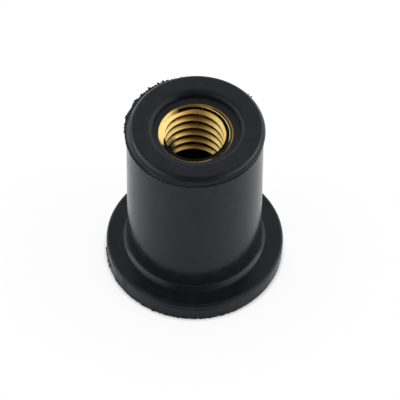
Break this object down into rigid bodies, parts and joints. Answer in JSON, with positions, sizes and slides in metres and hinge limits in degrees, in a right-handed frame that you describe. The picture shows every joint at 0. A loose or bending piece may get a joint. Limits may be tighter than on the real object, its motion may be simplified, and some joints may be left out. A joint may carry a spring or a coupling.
{
  "type": "rubber well nut",
  "caption": "Flanged black rubber bush with a threaded brass insert moulded into its blind end; a screw from the flange side bulges it behind a panel.",
  "frame": {"origin": "centre of the flange's outer face, where the well nut stands", "axes": "+Z along the screw axis, from the flange towards the blind end with the insert"},
  "size_m": [0.0164, 0.0164, 0.018],
  "materials": {
    "black_rubber": "satin moulded",
    "turned_brass": "machined"
  },
  "bodies": {
    "root": {"rubber_body": "black_rubber", "brass_insert": "turned_brass"}
  },
  "joints": []
}
